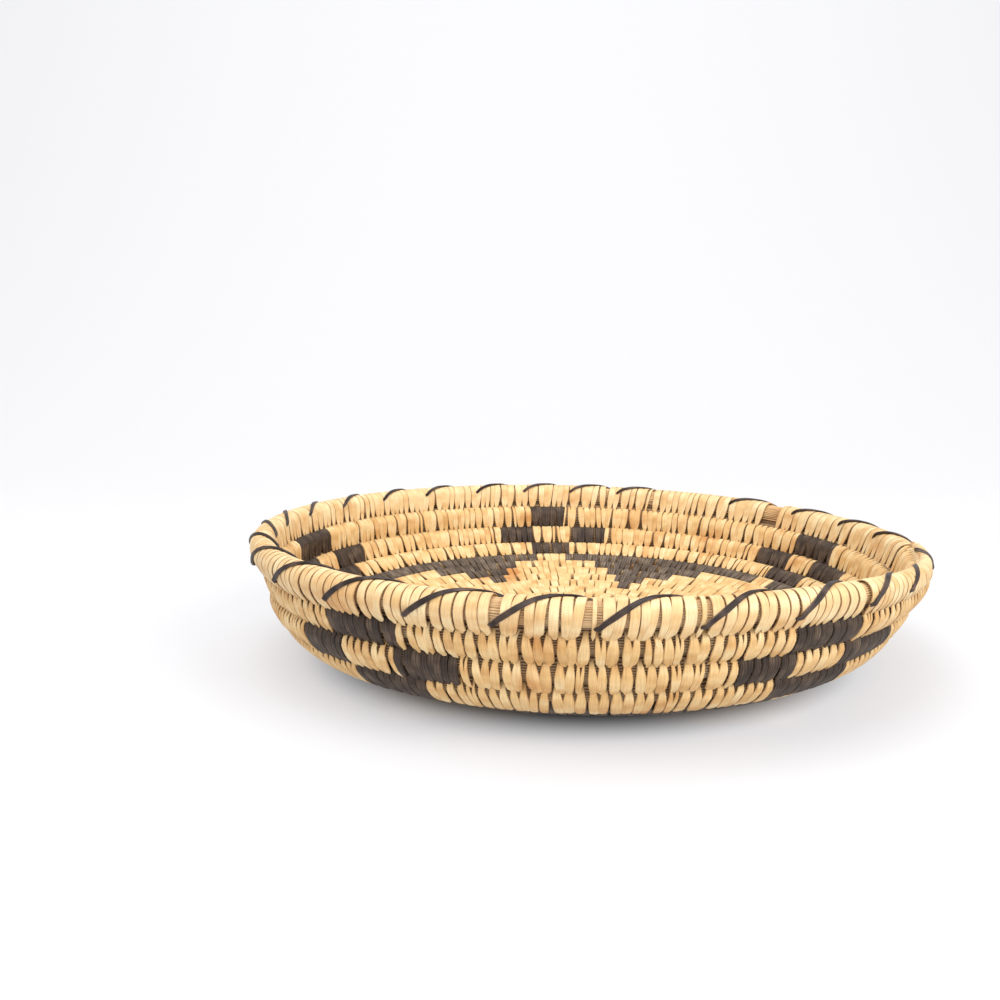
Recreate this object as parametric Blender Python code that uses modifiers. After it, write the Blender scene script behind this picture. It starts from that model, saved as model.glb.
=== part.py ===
"""A round coiled basket tray with a stepped petal pattern.

One bundle of grass winds in a spiral from the middle of the floor to the rim, sewn turn to turn.
Light stitches cover it, dark stitches draw the pattern, and a dark strand is whipped over the rim.
Metres, +Z up. The origin is under the middle of the tray's outline, on the surface it stands on.
"""

import math

import bmesh
import bpy
from mathutils import Matrix, Vector

# The coil, a bundle with light stitches round it: the width of a turn, and the gap to the next.
FLOOR_PITCH = 0.0102
BEND_PITCH = 0.01075
WALL_PITCH = 0.0111
ROW_GAP = 0.00055

# The profile, from the middle outwards: turns of coil, and how steeply each stretch climbs.
FLAT_TURNS = 6.07
DISH_TURNS = 6.0
DISH_SLOPE = 9.4
BEND_SLOPE = 32.0
LOW_WALL_SLOPE = 54.0
HIGH_WALL_SLOPE = 68.0
RIM_SLOPE = 61.0
MIDDLE_TURNS = 0.75
RIM_TURNS = 1.5
POINTS_PER_TURN = 20
COIL_END_ANGLE = -5.0
COIL_END_TAPER_TURNS = 0.15
COIL_END_TAPER = 0.42

# Under the dark stitches, and under the rim's, the bundle is bare and thinner.
STITCH_THICKNESS = 0.0008
SEAT_GAP = 0.0003
POINT_MARGIN = 0.0009
FOOT_CUT = 0.0005

# The pattern: five petals on the floor, each pointing at a hollow stepped diamond in the wall.
PETAL_ANGLES = (21.7, 93.7, 165.7, 232.2, 304.2)
WALL_BLOCK_WIDTH = 0.0215
PETAL_HALF_WIDTHS = (0.0083, 0.0225, 0.0300, 0.0317, 0.0330, 0.0394)

# The rim: fatter stitches over the last turn, and the strand whipped round them.
RIM_STITCH_RADIUS = 0.0059
WHIP_RADIUS = 0.0007
WHIP_TURNS = 26
WHIP_POINTS_PER_TURN = 8
WHIP_CLEARANCE = 0.0006
WHIP_START_TURNS = 0.055
WHIP_END_TURNS = 0.01

# The knot that the coil starts from.
KNOT_HEIGHT_SHARE = 0.85
KNOT_SEGMENTS = 12

SIDES = 6
MILLIMETRE = 0.001
FLAT_SHARE = math.cos(math.pi / SIDES)
STEP_SHARE = math.cos(math.pi / POINTS_PER_TURN)
STRETCHES = (
    (FLAT_TURNS, 0.0, FLOOR_PITCH),
    (DISH_TURNS, DISH_SLOPE, FLOOR_PITCH),
    (1.0, BEND_SLOPE, BEND_PITCH),
    (1.0, LOW_WALL_SLOPE, WALL_PITCH),
    (1.0, HIGH_WALL_SLOPE, WALL_PITCH),
    (RIM_TURNS, RIM_SLOPE, WALL_PITCH),
)
STEP = 1.0 / POINTS_PER_TURN
END_TURN = sum(turns for turns, _, _ in STRETCHES)
# Two turns that differ by less than this rounding error are the same.
TURN_SLACK = math.sqrt(math.ulp(END_TURN))
START_TURN = END_TURN - round((END_TURN - MIDDLE_TURNS) / STEP) * STEP

# The last turn rises to rim height over its first step, and its own stitches start half-way.
RIM_TURN = END_TURN - 1.0
RIM_STITCH_TURN = RIM_TURN + STEP / 2
FLOOR_RADIUS = (FLOOR_PITCH - ROW_GAP) / 2
CENTRE_HEIGHT = FLOOR_RADIUS * FLAT_SHARE - FOOT_CUT
BARE_DEPTH = STITCH_THICKNESS + SEAT_GAP

# The rim row stands off the row under it far enough for the strand to pass between them.
WHIP_REACH = RIM_STITCH_RADIUS + WHIP_CLEARANCE + WHIP_RADIUS
WHIP_ROOM = WHIP_REACH * math.cos(math.pi / WHIP_POINTS_PER_TURN) + WHIP_RADIUS + SEAT_GAP
RIM_RISE = max(WHIP_ROOM + (WALL_PITCH - ROW_GAP) / 2 - WALL_PITCH * STEP_SHARE, 0.0)

# Rows are counted down from the rim, which is row 0.
FIRST_FLOOR_ROW = 4

STRAW = ((0.72, 0.52, 0.27), 0.6)
RIM_STRAW = ((0.80, 0.62, 0.36), 0.55)
KNOT_STRAW = ((0.62, 0.42, 0.20), 0.65)
DARK_STITCH = ((0.075, 0.055, 0.042), 0.5)
WHIP_DARK = ((0.022, 0.020, 0.020), 0.35)


def profile(turn):
    """Radius and height of the coil's centre line, so many turns out from the middle."""
    rise = RIM_RISE * min(max(turn - RIM_TURN, 0.0) / STEP, 1.0)
    radius = rise * math.cos(math.radians(RIM_SLOPE))
    height = rise * math.sin(math.radians(RIM_SLOPE)) + CENTRE_HEIGHT
    left = turn
    for turns, slope, pitch in STRETCHES:
        run = min(left, turns)
        radius += run * pitch * math.cos(math.radians(slope))
        height += run * pitch * math.sin(math.radians(slope))
        left -= run
    return radius, height


def slope_at(turn):
    """How steeply one row sits on the next, as an angle above the horizontal."""
    if turn > RIM_TURN:
        return math.radians(RIM_SLOPE)
    inner = profile(max(turn - 0.5, 0.0))
    outer = profile(min(turn + 0.5, RIM_TURN))
    return math.atan2(outer[1] - inner[1], outer[0] - inner[0])


def radius_at(turn):
    """The coil's radius: half the way to the nearer of its two neighbouring rows, less the gap."""
    spans = [WALL_PITCH]
    if turn > 1.0:
        spans.append(math.dist(profile(turn), profile(turn - 1.0)))
    if turn < RIM_TURN:
        spans.append(math.dist(profile(turn), profile(turn + 1.0)))
    return (min(spans) - ROW_GAP) / 2


def angle_at(turn):
    return math.radians(COIL_END_ANGLE) + 2 * math.pi * (turn - END_TURN)


def turn_at(row, degrees):
    """The turn at which a row passes an angle round the tray."""
    share = ((degrees - COIL_END_ANGLE) % 360.0) / 360.0
    return END_TURN - 1.0 - row + share


def taper_at(turn):
    """1 along the coil, falling to a thin tip at its end on the rim."""
    left = (END_TURN - turn) / COIL_END_TAPER_TURNS
    return COIL_END_TAPER + (1.0 - COIL_END_TAPER) * min(left, 1.0)


def rim_radius_at(turn):
    return RIM_STITCH_RADIUS * taper_at(turn)


def bare_radius_at(turn):
    """The bundle's radius where a separate sleeve of stitches goes round it."""
    if turn > RIM_STITCH_TURN:
        return rim_radius_at(turn) * FLAT_SHARE - BARE_DEPTH
    return radius_at(turn) - BARE_DEPTH / FLAT_SHARE


def frame_at(turn):
    """Centre of the coil, the way up its slope to the next row, and the way out of the tray."""
    radius, height = profile(turn)
    slope, angle = slope_at(turn), angle_at(turn)
    outward = Vector((math.cos(angle), math.sin(angle), 0.0))
    up_slope = outward * math.cos(slope) + Vector((0.0, 0.0, math.sin(slope)))
    away = outward * math.sin(slope) - Vector((0.0, 0.0, math.cos(slope)))
    sunk = (RIM_STITCH_RADIUS - rim_radius_at(turn)) * FLAT_SHARE
    centre = outward * radius + Vector((0.0, 0.0, height)) - up_slope * sunk
    return centre, up_slope, away


def chord_point(turn):
    """A point on the coil's centre line, which is straight from one of its points to the next."""
    before = step_before(turn)
    share = (turn - before) / STEP
    return frame_at(before)[0].lerp(frame_at(min(before + STEP, END_TURN))[0], share)


def step_before(turn):
    """The last of the coil's own points up to a turn."""
    return END_TURN - math.ceil((END_TURN - turn) / STEP - TURN_SLACK) * STEP


def grid_turns(first, last):
    """The coil's own points strictly between two turns."""
    count = round((END_TURN - START_TURN) / STEP) + 1
    turns = (END_TURN - index * STEP for index in reversed(range(count)))
    return [turn for turn in turns if first + TURN_SLACK < turn < last - TURN_SLACK]


def arc_to_turns(length, turn):
    return length / (2 * math.pi * profile(turn)[0])


def settle(turn, starts):
    """Moves the start or end of a run off the coil's points, so that no two rings of it cross."""
    margin = arc_to_turns(POINT_MARGIN, turn)
    depth = arc_to_turns(2 * SEAT_GAP, turn)
    before = step_before(turn)
    least = before + margin + (0.0 if starts else depth)
    most = before + STEP - margin - (depth if starts else 0.0)
    return min(max(turn, least), most)


def make_material(name, finish):
    colour, roughness = finish
    material = bpy.data.materials.new(name)
    material.use_nodes = True
    shader = material.node_tree.nodes["Principled BSDF"]
    shader.inputs["Base Color"].default_value = (*colour, 1.0)
    shader.inputs["Roughness"].default_value = roughness
    shader.inputs["Metallic"].default_value = 0.0
    return material


def make_tube(name, points, radii, tilts, capped):
    """A tube with six sides through the points, as a mesh object with its seams welded."""
    curve = bpy.data.curves.new(name, "CURVE")
    curve.dimensions = "3D"
    curve.twist_mode = "Z_UP"
    curve.bevel_depth = 1.0
    curve.bevel_resolution = 1
    curve.render_resolution_u = 0
    curve.use_fill_caps = capped
    spline = curve.splines.new("POLY")
    spline.points.add(len(points) - 1)
    for place, point, radius, tilt in zip(spline.points, points, radii, tilts):
        place.co = (*point, 1.0)
        place.radius = radius
        place.tilt = tilt
    guide = bpy.data.objects.new(name + "_guide", curve)
    bpy.context.scene.collection.objects.link(guide)
    graph = bpy.context.evaluated_depsgraph_get()
    mesh = bpy.data.meshes.new_from_object(guide.evaluated_get(graph))
    bpy.data.objects.remove(guide)
    bpy.data.curves.remove(curve)
    return weld(mesh, name)


def weld(mesh, name):
    """Closes the seams round the caps and turns every face outwards."""
    body = bmesh.new()
    body.from_mesh(mesh)
    bmesh.ops.remove_doubles(body, verts=body.verts, dist=0.00001)
    bmesh.ops.recalc_face_normals(body, faces=body.faces)
    body.to_mesh(mesh)
    body.free()
    mesh.name = name
    mesh.shade_smooth()
    mesh.set_sharp_from_angle(angle=math.radians(50.0))
    return bpy.data.objects.new(name, mesh)


def coil_tilts(turns):
    """Turns the six-sided section so that two of its corners face the neighbouring rows."""
    return [-slope_at(turn) for turn in turns]


def place(collection, item, material):
    collection.objects.link(item)
    item.data.materials.clear()
    item.data.materials.append(material)
    return item


def dark_runs():
    """Where dark stitches replace light ones: name, first turn and last turn of each run."""
    runs = []
    for petal, middle in enumerate(PETAL_ANGLES, 1):
        blocks = (("top", 1, 0), ("left", 2, 1), ("right", 2, -1), ("foot", 3, 0))
        for label, row, side in blocks:
            centre = turn_at(row, middle)
            width = arc_to_turns(WALL_BLOCK_WIDTH, centre)
            centre += side * width
            runs.append((f"wall_dark_{label}_{petal}", centre - width / 2, centre + width / 2))
    runs += floor_runs()
    return [(name, settle(first, True), settle(last, False)) for name, first, last in runs]


def floor_runs():
    """The dark fields between the petals: a run on each row, joined where the coil passes on."""
    pieces = []
    for row, half_width in enumerate(PETAL_HALF_WIDTHS, FIRST_FLOOR_ROW):
        for petal, following in zip(PETAL_ANGLES, PETAL_ANGLES[1:] + PETAL_ANGLES[:1]):
            light = 360.0 * arc_to_turns(half_width, turn_at(row, petal))
            first = turn_at(row, petal + light)
            last = turn_at(row, following - light)
            if first < last:
                pieces.append((first, last))
            else:
                pieces.append((first, END_TURN - row))
                pieces.append((END_TURN - row - 1.0, last))
    joined = []
    for first, last in sorted(pieces):
        if joined and first - joined[-1][1] < TURN_SLACK:
            joined[-1] = (joined[-1][0], last)
        else:
            joined.append((first, last))
    return [(f"floor_dark_{number:02d}", first, last) for number, (first, last) in enumerate(joined, 1)]


def coil_stations(runs):
    """Turns and radii of the coil's points, with a shoulder at each end of a bare stretch."""
    stations = [(START_TURN, radius_at(START_TURN))]
    reached = START_TURN
    bare = [(first, last) for _, first, last in runs] + [(RIM_STITCH_TURN, END_TURN)]
    for first, last in sorted(bare):
        step = arc_to_turns(SEAT_GAP, first)
        stations += [(turn, radius_at(turn)) for turn in grid_turns(reached, first)]
        stations.append((first, radius_at(first)))
        stations += [(turn, bare_radius_at(turn)) for turn in sleeve_turns(first, last, step)]
        if last < END_TURN:
            stations.append((last, radius_at(last)))
        reached = last
    return stations


def sleeve_turns(first, last, step):
    """The points of a stretch that stops short at both ends."""
    start, stop = first + step, last - step
    return [start, *grid_turns(start, stop), stop]


def make_coil(runs):
    stations = coil_stations(runs)
    turns = [turn for turn, _ in stations]
    radii = [radius for _, radius in stations]
    points = [chord_point(turn) for turn in turns]
    return make_tube("foundation_coil", points, radii, coil_tilts(turns), True)


def make_sleeve(name, first, last, reach, turned):
    """Stitches side by side round the bundle, as one open-ended sleeve."""
    turns = sleeve_turns(first, last, 2 * arc_to_turns(SEAT_GAP, first))
    points = [chord_point(turn) for turn in turns]
    radii = [reach(turn) for turn in turns]
    tilts = [tilt + turned for tilt in coil_tilts(turns)]
    sleeve = make_tube(name, points, radii, tilts, False)
    shell = sleeve.modifiers.new("stitch thickness", "SOLIDIFY")
    shell.thickness = STITCH_THICKNESS
    shell.offset = -1.0
    shell.use_even_offset = True
    return sleeve


def make_whip():
    """The dark strand: over the rim's stitches, then back between the rim and the row under it."""
    first = RIM_TURN + WHIP_START_TURNS
    last = END_TURN - WHIP_END_TURNS
    count = WHIP_TURNS * WHIP_POINTS_PER_TURN
    points = []
    for index in range(count + 1):
        turn = first + (last - first) * index / count
        around = 2 * math.pi * (index + 0.5) / WHIP_POINTS_PER_TURN
        _, up_slope, away = frame_at(turn)
        reach = rim_radius_at(turn) + WHIP_CLEARANCE + WHIP_RADIUS
        aside = away * math.sin(around) - up_slope * math.cos(around)
        points.append(chord_point(turn) + aside * reach)
    radii = [WHIP_RADIUS] * len(points)
    return make_tube("rim_whip", points, radii, [0.0] * len(points), True)


def make_knot():
    """The start of the coil: a small oval knot in the eye of the spiral."""
    width = FLOOR_PITCH * (2 * START_TURN + 0.5) / 2 - FLOOR_RADIUS - 2 * SEAT_GAP
    length = width + FLOOR_PITCH / 8
    half_height = CENTRE_HEIGHT * KNOT_HEIGHT_SHARE
    body = bmesh.new()
    rings = KNOT_SEGMENTS // 2
    bmesh.ops.create_uvsphere(body, u_segments=KNOT_SEGMENTS, v_segments=rings, radius=1.0)
    body.transform(Matrix.Diagonal((width, length, half_height, 1.0)))
    aside = Vector((FLOOR_PITCH / 4, FLOOR_PITCH / 4, CENTRE_HEIGHT))
    body.transform(Matrix.Rotation(angle_at(START_TURN) + math.pi, 4, "Z") @ Matrix.Translation(aside))
    knot = to_object(body, "start_knot")
    knot.data.shade_smooth()
    return knot


def to_object(body, name):
    mesh = bpy.data.meshes.new(name)
    body.to_mesh(mesh)
    body.free()
    return bpy.data.objects.new(name, mesh)


def cut_foot(coil, cutters):
    """A box under the floor takes the lowest half millimetre, so that the tray stands flat."""
    half = profile(FLAT_TURNS + DISH_TURNS)[0]
    body = bmesh.new()
    bmesh.ops.create_cube(body, size=2.0)
    below = Matrix.Translation((0.0, 0.0, -FLOOR_RADIUS))
    body.transform(below @ Matrix.Diagonal((half, half, FLOOR_RADIUS, 1.0)))
    block = to_object(body, "foot_cutter")
    cutters.objects.link(block)
    block.hide_render = True
    block.display_type = "WIRE"
    cut = coil.modifiers.new("foot", "BOOLEAN")
    cut.operation = "DIFFERENCE"
    cut.object = block


def section_corners(turn, radius, turned):
    """The corners of the coil's section across and up the wall, in the plane through the axis."""
    across, height = profile(turn)
    corners = []
    for side in range(SIDES):
        angle = slope_at(turn) + turned + side * 2 * math.pi / SIDES
        corners.append(Vector((across + radius * math.cos(angle), height + radius * math.sin(angle))))
    return corners


def corner_gap(corner, first, second):
    """How far a corner lies from the side between two others."""
    run, away = second - first, corner - first
    share = min(max(away.dot(run) / run.dot(run), 0.0), 1.0)
    return (away - run * share).length


def least_gap():
    """The least distance between one turn of the coil and the next, over all its corners."""
    least = FLOOR_PITCH
    for turn in grid_turns(START_TURN, RIM_TURN):
        rim = turn + 1.0 > RIM_STITCH_TURN
        here = section_corners(turn, radius_at(turn), 0.0)
        reach = RIM_STITCH_RADIUS if rim else radius_at(turn + 1.0)
        there = section_corners(turn + 1.0, reach, math.pi / SIDES if rim else 0.0)
        for one, other in ((here, there), (there, here)):
            sides = zip(other, other[1:] + other[:1])
            gaps = [corner_gap(corner, *side) for side in sides for corner in one]
            least = min(least, *gaps)
    return least * STEP_SHARE


def centre_on_origin(items):
    """Moves every piece so that the outline's middle is over the origin."""
    for axis in range(2):
        reach = [vertex.co[axis] for item in items for vertex in item.data.vertices]
        shift = Vector((0.0, 0.0, 0.0))
        shift[axis] = -(min(reach) + max(reach)) / 2
        for item in items:
            item.data.transform(Matrix.Translation(shift))
        print(f"outline centred along axis {axis}: {shift[axis] / MILLIMETRE:.2f} mm")


def build():
    for item in list(bpy.data.objects):
        bpy.data.objects.remove(item)
    tray = bpy.data.collections.new("basket_tray")
    cutters = bpy.data.collections.new("cutters")
    for collection in (tray, cutters):
        bpy.context.scene.collection.children.link(collection)
    straw = make_material("grass_and_light_stitches", STRAW)
    rim_straw = make_material("rim_stitches", RIM_STRAW)
    dark = make_material("dark_stitches", DARK_STITCH)
    runs = dark_runs()
    coil = place(tray, make_coil(runs), straw)
    cut_foot(coil, cutters)
    place(tray, make_knot(), make_material("start_knot", KNOT_STRAW))
    for name, first, last in runs:
        place(tray, make_sleeve(name, first, last, radius_at, 0.0), dark)
    turned = math.pi / SIDES
    rim = make_sleeve("rim_stitches", RIM_STITCH_TURN, END_TURN, rim_radius_at, turned)
    place(tray, rim, rim_straw)
    place(tray, make_whip(), make_material("rim_whip", WHIP_DARK))
    centre_on_origin(list(tray.objects))
    print(f"turns {END_TURN - START_TURN:.2f}, dark runs {len(runs)}")
    print(f"least gap of the coil to itself {least_gap() / MILLIMETRE:.2f} mm")


build()
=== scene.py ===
# %% [markdown]
# # A coiled basket tray
#
# This lesson dresses a plain model of a coiled tray. On the real tray a bundle of bear grass winds
# in a spiral, and over two thousand flat splints sew each turn to the one under it. They could be
# painted on the plain model, but from this near each splint shows its own edge and shadow. The plain
# model has the right sizes, so every piece here is laid along the same spiral, stitch by stitch.

# %% Load the frame
import math
import bpy
import numpy as np
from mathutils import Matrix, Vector


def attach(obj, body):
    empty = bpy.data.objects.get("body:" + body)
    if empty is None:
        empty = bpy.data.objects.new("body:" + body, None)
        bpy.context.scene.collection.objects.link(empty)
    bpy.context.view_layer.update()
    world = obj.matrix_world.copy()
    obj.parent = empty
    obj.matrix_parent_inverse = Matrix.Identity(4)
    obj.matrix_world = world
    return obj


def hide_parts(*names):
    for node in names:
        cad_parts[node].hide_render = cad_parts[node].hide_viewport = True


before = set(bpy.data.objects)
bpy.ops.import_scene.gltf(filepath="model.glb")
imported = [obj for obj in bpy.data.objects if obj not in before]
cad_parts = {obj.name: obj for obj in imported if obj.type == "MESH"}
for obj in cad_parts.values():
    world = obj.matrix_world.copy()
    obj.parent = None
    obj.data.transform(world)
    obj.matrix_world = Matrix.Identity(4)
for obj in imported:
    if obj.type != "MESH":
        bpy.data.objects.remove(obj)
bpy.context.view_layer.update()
print("nodes in the frame:", len(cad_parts))

# %% [markdown]
# ## Camera
#
# The camera stands where the photograph was taken: a little above the rim, looking slightly down.
# Its place could be found by trying, but here it was fitted together with the size of the tray, so
# that the rows of the coil fall where they should in the picture. The tray is written in millimetres
# from the coil's axis, and one factor turns them into metres.

# %% Camera
MM = 0.001
AXIS = Vector((1.76, 1.74, 0.0)) * MM
CAMERA_FROM_AXIS = Vector((-38.1, -511.1, 149.1)) * MM
FOCAL_LENGTH = 39.98
PITCH_DOWN = math.radians(8.94)

camera = bpy.data.objects.new("camera", bpy.data.cameras.new("camera"))
camera.data.lens = FOCAL_LENGTH
camera.location = AXIS + CAMERA_FROM_AXIS
camera.rotation_euler = (math.pi / 2 - PITCH_DOWN, 0.0, 0.0)
bpy.context.scene.collection.objects.link(camera)
bpy.context.scene.camera = camera
bpy.context.scene.view_settings.view_transform = "Standard"
print("camera height in mm:", round(camera.location.z / MM, 1))

# %% [markdown]
# ## Colours and nodes
#
# A colour listed here is an sRGB value, but a shader counts in linear light, so one function turns
# the first into the second. Another adds a node with its settings and links, which keeps a finish as
# short to read as a recipe. Paper and dry plant fibre bend light alike, with an IOR of about 1.5, and
# neither is a metal. Their scraped, fibrous faces shine less than glass does, so the level is low.

# %% A helper for colours and one for nodes
FIBRE_IOR = 1.5
FIBRE_SPECULAR = 0.3


def srgb(hex_colour):
    """A colour written as in a paint program, as the linear values that a shader wants."""
    values = [int(hex_colour[start:start + 2], 16) / 255 for start in (1, 3, 5)]
    linear = [v / 12.92 if v <= 0.04045 else ((v + 0.055) / 1.055) ** 2.4 for v in values]
    return (*linear, 1.0)


def add_node(material, kind, settings=None, links=None):
    """Adds a node, sets its properties and sockets, and links its inputs to other nodes' outputs."""
    node = material.node_tree.nodes.new("ShaderNode" + kind)
    for name, value in (settings or {}).items():
        if isinstance(name, str) and hasattr(node, name):
            setattr(node, name, value)
        else:
            node.inputs[name].default_value = value
    for name, output in (links or {}).items():
        material.node_tree.links.new(output, node.inputs[name])
    return node


def new_material(name, roughness, specular=FIBRE_SPECULAR):
    """An empty material for paper or fibre, and its shader."""
    material = bpy.data.materials.new(name)
    material.use_nodes = True
    shader = material.node_tree.nodes["Principled BSDF"]
    shader.inputs["Roughness"].default_value = roughness
    shader.inputs["IOR"].default_value = FIBRE_IOR
    shader.inputs["Specular IOR Level"].default_value = specular
    return material, shader


print("middle grey in linear light:", round(srgb("#808080")[0], 3))

# %% [markdown]
# ## White paper
#
# A photographer lays the object on a long sheet of matt white paper, which looks even and has no
# shine. On a table lit from many sides its shadows stay pale. Many lamps could do that here, but a
# sheet that glows a little, which is painted light, gives the same look with four. Under the tray it
# doesn't glow, which paints a dark contact shadow there, so that the tray stands on it.

# %% The finish of the paper
PAPER_ROUGHNESS = 0.9
PAPER_SPECULAR = 0.1
GLOW = 0.48
NO_GLOW_WITHIN = 95.0 * MM
FULL_GLOW_FROM = 128.0 * MM

paper, paper_shader = new_material("white_seamless_paper", PAPER_ROUGHNESS, PAPER_SPECULAR)
paper_shader.inputs["Base Color"].default_value = srgb("#9e9ea0")
paper_shader.inputs["Emission Color"].default_value = srgb("#fdfdff")
# The sheet's glow is painted light, since the sheet is no lamp. The ring without glow under the tray is a
# painted contact shadow.
sheet_place = add_node(paper, "TexCoord")
from_middle = add_node(paper, "VectorMath", {"operation": "LENGTH"}, {0: sheet_place.outputs["Object"]})
glow = add_node(paper, "MapRange", {
    "interpolation_type": "SMOOTHSTEP",
    "From Min": NO_GLOW_WITHIN, "From Max": FULL_GLOW_FROM, "To Min": 0.0, "To Max": GLOW,
}, {"Value": from_middle.outputs["Value"]})
paper.node_tree.links.new(glow.outputs[0], paper_shader.inputs["Emission Strength"])
print("full glow from this many mm out:", round(FULL_GLOW_FROM / MM))

# %% [markdown]
# ## The sheet
#
# The sheet lies flat and then curves up behind the tray, so no corner shows between table and wall.
# A bent plane with a bevel would do, but a list of places along the curve, given once for the left
# edge and once for the right, is all that such a sheet needs. Its sizes are in metres.

# %% The sheet
SHEET_FRONT = -3.0
SHEET_TOP = 4.0
SHEET_HALF_WIDTH = 5.0
BACKDROP_START = 0.55
BACKDROP_RADIUS = 0.9
BACKDROP_STEPS = 24

profile = [(SHEET_FRONT, 0.0), (BACKDROP_START, 0.0)]
for step in range(1, BACKDROP_STEPS + 1):
    bend = step / BACKDROP_STEPS * math.pi / 2
    profile.append((
        BACKDROP_START + BACKDROP_RADIUS * math.sin(bend),
        BACKDROP_RADIUS * (1 - math.cos(bend)),
    ))
profile.append((BACKDROP_START + BACKDROP_RADIUS, SHEET_TOP))
sheet = bpy.data.meshes.new("seamless_paper")
corners = [(side, y, z) for y, z in profile for side in (-SHEET_HALF_WIDTH, SHEET_HALF_WIDTH)]
strips = [(2 * i, 2 * i + 1, 2 * i + 3, 2 * i + 2) for i in range(len(profile) - 1)]
sheet.from_pydata(corners, [], strips)
sheet.materials.append(paper)
sheet.shade_smooth()
backdrop = bpy.data.objects.new("seamless_paper", sheet)
bpy.context.scene.collection.objects.link(backdrop)
print("strips in the sheet:", len(sheet.polygons))

# %% [markdown]
# ## Lights
#
# A soft box is a lamp behind a white cloth, and its size is what makes a shadow soft. Small lamps
# would draw hard shadows, so each one here is a square light. One stands in front on the right, one
# hangs above, a weak one in front lights the outside of the wall, and one washes the paper behind.
# A white world fills the rest. Places are in metres, and powers in watts.

# %% Soft boxes
WORLD_STRENGTH = 0.6

world = bpy.data.worlds.new("studio")
world.use_nodes = True
world.node_tree.nodes["Background"].inputs["Color"].default_value = (1.0, 1.0, 1.0, 1.0)
world.node_tree.nodes["Background"].inputs["Strength"].default_value = WORLD_STRENGTH
bpy.context.scene.world = world


def soft_box(name, place, aim, size, power):
    """A square light that points at the place aim."""
    lamp = bpy.data.lights.new(name, "AREA")
    lamp.size = size
    lamp.energy = power
    item = bpy.data.objects.new(name, lamp)
    item.location = place
    item.rotation_euler = (Vector(aim) - item.location).to_track_quat("-Z", "Y").to_euler()
    bpy.context.scene.collection.objects.link(item)


soft_box("key_soft_box", (0.92, -0.82, 0.95), AXIS, 0.8, 14.0)
soft_box("top_soft_box", (-0.45, -0.3, 1.4), AXIS, 1.0, 11.5)
soft_box("front_fill", (-0.1, -1.3, 0.4), AXIS, 0.9, 6.0)
soft_box("backdrop_wash", (0.0, 0.5, 1.7), (0.0, 1.5, 0.3), 1.2, 10.0)

# %% [markdown]
# ## The rows of the coil
#
# A basket maker starts at the middle and works outwards, turn after turn. The coil could be a curve
# object, but a list does for everything: each row is the radius and height of one turn, counted down
# from the rim, and all that lies between is read off it. Places along the coil are counted in turns.
# On the rim the coil ends in a thin tip, and the rim's own stitches go over that tip as well.

# %% Coil profile, in millimetres
COIL_END = 16.57
SEAM_ANGLE = math.radians(-5.0)
RIM_MIDDLE = COIL_END - 0.5
ROW_RADII = (146.4, 148.6, 142.5, 138.3, 131.7, 122.6, 112.5, 102.4, 92.3, 82.2, 72.0, 61.9, 0.0)
ROW_HEIGHTS = (60.4, 51.0, 39.9, 28.5, 19.4, 13.7, 12.0, 10.6, 9.2, 8.0, 6.8, 5.6, 5.5)
ROW_TURNS = [RIM_MIDDLE + 1 - row for row in range(len(ROW_RADII) - 1)] + [0.0]


def coil_angle(turn):
    """How far round the tray a place on the coil is, in radians."""
    return SEAM_ANGLE + 2 * np.pi * (turn - COIL_END)


def coil_section(turn):
    """Radius and height of the middle of the coil."""
    radius = np.interp(turn, ROW_TURNS[::-1], ROW_RADII[::-1])
    height = np.interp(turn, ROW_TURNS[::-1], ROW_HEIGHTS[::-1])
    return radius, height


print("rim radius in mm at the seam:", coil_section(COIL_END - 1.0)[0], coil_section(COIL_END)[0])

# %% The end of the coil
END_TAPER_TURNS = 0.17
END_THICKNESS = 0.3
HUMP_HEIGHT = 1.4
HUMP_TURNS = 0.11
HUMP_START_TURNS = 0.008


def soft_step(share):
    """0 to 1, with a gentle start and end."""
    share = np.clip(share, 0.0, 1.0)
    return share * share * (3.0 - 2.0 * share)


def end_taper(turn):
    """1 along the coil, falling to a thin tip over its last stretch."""
    return END_THICKNESS + (1.0 - END_THICKNESS) * soft_step((COIL_END - turn) / END_TAPER_TURNS)


def hump(turn):
    """Past the coil's end the rim's splints go over the thin end as well, so they reach higher."""
    past = turn - (COIL_END - 1.0)
    rise = np.clip(past / HUMP_START_TURNS + 1.0, 0.0, 1.0)
    return HUMP_HEIGHT * (1.0 - soft_step(past / HUMP_TURNS)) * rise


print("thickness of the coil's tip, as a share:", float(end_taper(COIL_END)))

# %% [markdown]
# ## Directions at the coil
#
# A stitch lies across the coil, so it needs three directions at its own place: along the coil, up the
# wall and out of the tray. Worked out by one helper from the rows above and below, they serve every
# later piece, so the shape of the tray is written only once. A tray made by hand isn't quite round
# or level: its upper rows lean a little to the right, and the whole is tilted by a millimetre or two.

# %% Directions at any point of the coil
END_SINK = 5.3
TILT_HEIGHT = 1.9
TILT_MEASURED_AT = 55.0
TILT_ANGLE = math.radians(165.0)
RIM_LEAN = 2.8
LEAN_FROM = 26.0
LEAN_OVER = 22.0


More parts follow.
